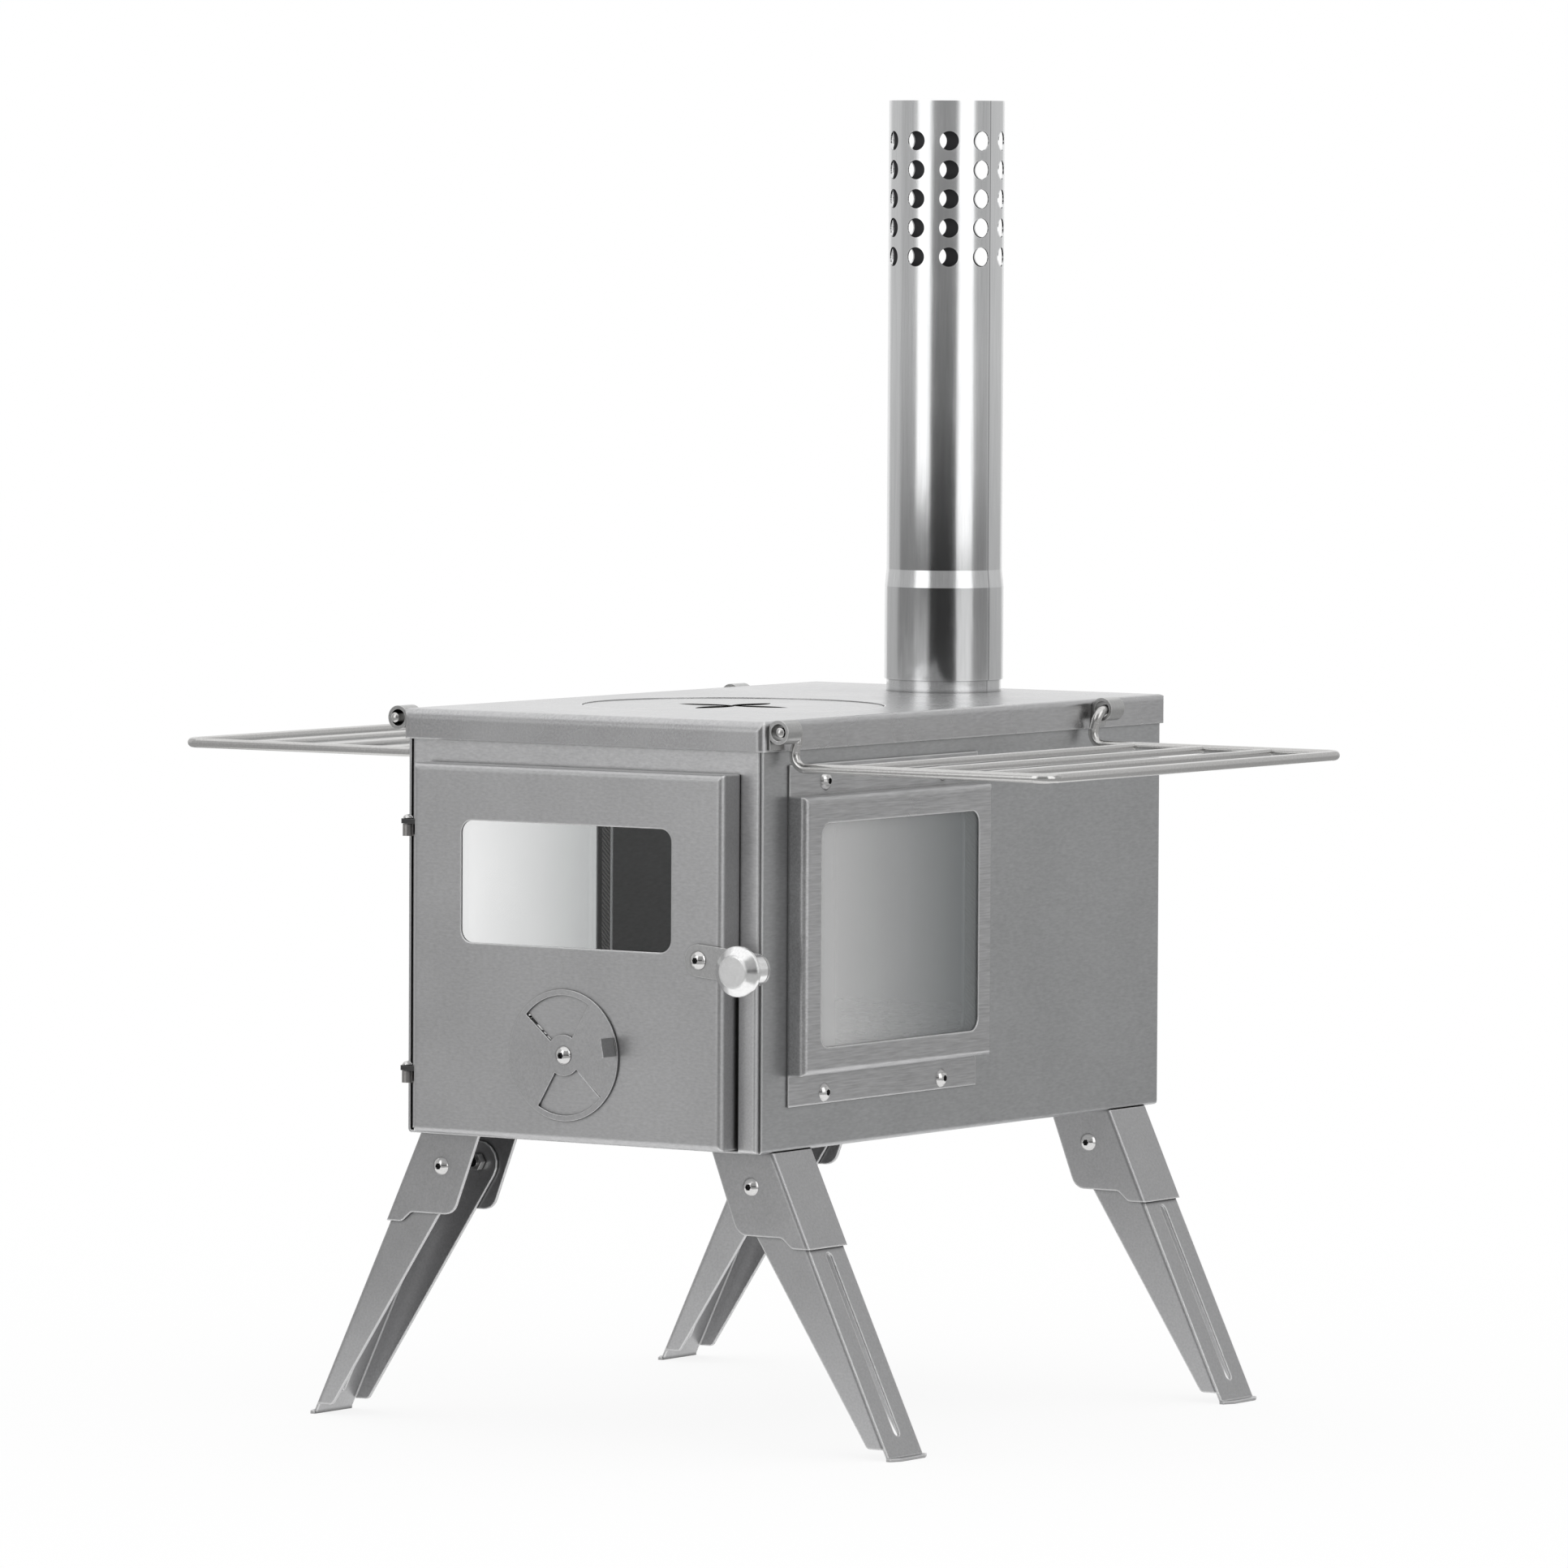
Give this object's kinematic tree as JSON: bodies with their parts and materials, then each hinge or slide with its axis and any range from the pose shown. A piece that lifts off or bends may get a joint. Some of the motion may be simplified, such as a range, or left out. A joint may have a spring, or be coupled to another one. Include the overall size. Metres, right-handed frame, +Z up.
{
  "type": "tent wood stove",
  "caption": "Portable tent wood stove: sheet steel firebox on folding legs, with a glazed fire door, side windows, lift-out hob plate, folding wire shelves and a perforated flue end.",
  "frame": {"origin": "on the ground, below the middle of the overall width and of the overall front to back length", "axes": "+Z up, -Y the way the fire door faces, +X towards the door's latch side"},
  "size_m": [0.527, 0.4084, 0.6677],
  "materials": {
    "firebox_shell": "satin stainless sheet",
    "front_panel": "satin stainless sheet",
    "rear_panel": "satin stainless sheet",
    "lid": "satin stainless sheet",
    "hob_ring": "plain stainless sheet",
    "hob_plate": "satin stainless sheet",
    "flue_collar": "satin stainless sheet",
    "flue_pipe": "bright rolled stainless",
    "grate": "expanded metal, dull",
    "grate_rails": "plain stainless sheet",
    "window_frame_right": "satin stainless sheet",
    "window_frame_left": "satin stainless sheet",
    "window_glass_right": "clear heat-proof glass",
    "window_glass_left": "clear heat-proof glass",
    "window_gasket_right": "woven glass-fibre rope",
    "window_gasket_left": "woven glass-fibre rope",
    "window_screws_right": "bright button heads",
    "window_screws_left": "bright button heads",
    "window_nuts": "plain steel",
    "door_pan": "satin stainless sheet",
    "door_glass": "clear heat-proof glass",
    "glass_retainer": "plain stainless sheet",
    "retainer_studs": "plain steel",
    "retainer_nuts": "plain steel",
    "damper_disc": "satin stainless sheet",
    "damper_screw": "bright button head",
    "damper_nut": "plain steel",
    "latch_lever": "satin stainless bar",
    "latch_knob": "turned and polished steel",
    "latch_screw": "bright button head",
    "latch_nut": "plain steel",
    "latch_keeper": "satin stainless strip",
    "hinge_lugs_body": "weld-darkened steel",
    "hinge_lugs_door": "weld-darkened steel",
    "hinge_pins": "bright domed heads",
    "leg_brackets": "satin stainless sheet",
    "leg_front_right": "satin stainless sheet",
    "leg_front_left": "satin stainless sheet",
    "leg_rear_right": "satin stainless sheet",
    "leg_rear_left": "satin stainless sheet",
    "leg_screws": "bright button heads",
    "leg_nuts": "plain steel",
    "shelf_barrels_right": "rolled stainless sheet",
    "shelf_barrels_left": "rolled stainless sheet",
    "shelf_right": "electropolished wire",
    "shelf_left": "electropolished wire"
  },
  "bodies": {
    "stove": {"firebox_shell": "firebox_shell", "front_panel": "front_panel", "rear_panel": "rear_panel", "lid": "lid", "hob_ring": "hob_ring", "flue_collar": "flue_collar", "grate": "grate", "grate_rails": "grate_rails", "window_frame_right": "window_frame_right", "window_frame_left": "window_frame_left", "window_glass_right": "window_glass_right", "window_glass_left": "window_glass_left", "window_gasket_right": "window_gasket_right", "window_gasket_left": "window_gasket_left", "window_screws_right": "window_screws_right", "window_screws_left": "window_screws_left", "window_nuts": "window_nuts", "latch_keeper": "latch_keeper", "hinge_lugs_body": "hinge_lugs_body", "hinge_pins": "hinge_pins", "leg_brackets": "leg_brackets", "leg_screws": "leg_screws", "leg_nuts": "leg_nuts", "shelf_barrels_right": "shelf_barrels_right", "shelf_barrels_left": "shelf_barrels_left"},
    "door": {"door_pan": "door_pan", "door_glass": "door_glass", "glass_retainer": "glass_retainer", "retainer_studs": "retainer_studs", "retainer_nuts": "retainer_nuts", "damper_screw": "damper_screw", "damper_nut": "damper_nut", "latch_screw": "latch_screw", "latch_nut": "latch_nut", "hinge_lugs_door": "hinge_lugs_door"},
    "damper": {"damper_disc": "damper_disc"},
    "latch": {"latch_lever": "latch_lever", "latch_knob": "latch_knob"},
    "leg_fr": {"leg_front_right": "leg_front_right"},
    "leg_fl": {"leg_front_left": "leg_front_left"},
    "leg_rr": {"leg_rear_right": "leg_rear_right"},
    "leg_rl": {"leg_rear_left": "leg_rear_left"},
    "shelf_r": {"shelf_right": "shelf_right"},
    "shelf_l": {"shelf_left": "shelf_left"},
    "flue": {"flue_pipe": "flue_pipe"},
    "hob": {"hob_plate": "hob_plate"}
  },
  "joints": [
    {"name": "door_swing", "type": "hinge", "parent": "stove", "child": "door", "pos_m": [-0.1035, -0.1723, 0.242], "axis": [0, 0, -1], "range_deg": [0, 120]},
    {"name": "damper_turn", "type": "hinge", "parent": "door", "child": "damper", "pos_m": [0, -0.183, 0.193], "axis": [0, 1, 0], "continuous": true},
    {"name": "latch_turn", "type": "hinge", "parent": "door", "child": "latch", "pos_m": [0.0805, -0.1831, 0.2437], "axis": [0, -1, 0], "range_deg": [0, 90]},
    {"name": "leg_fr_fold", "type": "hinge", "parent": "stove", "child": "leg_fr", "pos_m": [0.094, -0.1383, 0.1308], "axis": [0, 1, 0], "range_deg": [0, 122]},
    {"name": "leg_rr_fold", "type": "hinge", "parent": "stove", "child": "leg_rr", "pos_m": [0.094, 0.1727, 0.1308], "axis": [0, 1, 0], "range_deg": [0, 122]},
    {"name": "leg_fl_fold", "type": "hinge", "parent": "stove", "child": "leg_fl", "pos_m": [-0.094, -0.1383, 0.1308], "axis": [0, -1, 0], "range_deg": [0, 80]},
    {"name": "leg_rl_fold", "type": "hinge", "parent": "stove", "child": "leg_rl", "pos_m": [-0.094, 0.1727, 0.1308], "axis": [0, -1, 0], "range_deg": [0, 80]},
    {"name": "shelf_r_fold", "type": "hinge", "parent": "stove", "child": "shelf_r", "pos_m": [0.1164, -0.0105, 0.3562], "axis": [0, -1, 0], "range_deg": [0, 110]},
    {"name": "shelf_l_fold", "type": "hinge", "parent": "stove", "child": "shelf_l", "pos_m": [-0.1164, -0.0105, 0.3562], "axis": [0, 1, 0], "range_deg": [0, 110]},
    {"name": "flue_lift", "type": "slide", "parent": "stove", "child": "flue", "axis": [0, 0, 1], "range_m": [0, 0.06]},
    {"name": "hob_lift", "type": "slide", "parent": "stove", "child": "hob", "axis": [0, 0, 1], "range_m": [0, 0.05]}
  ]
}
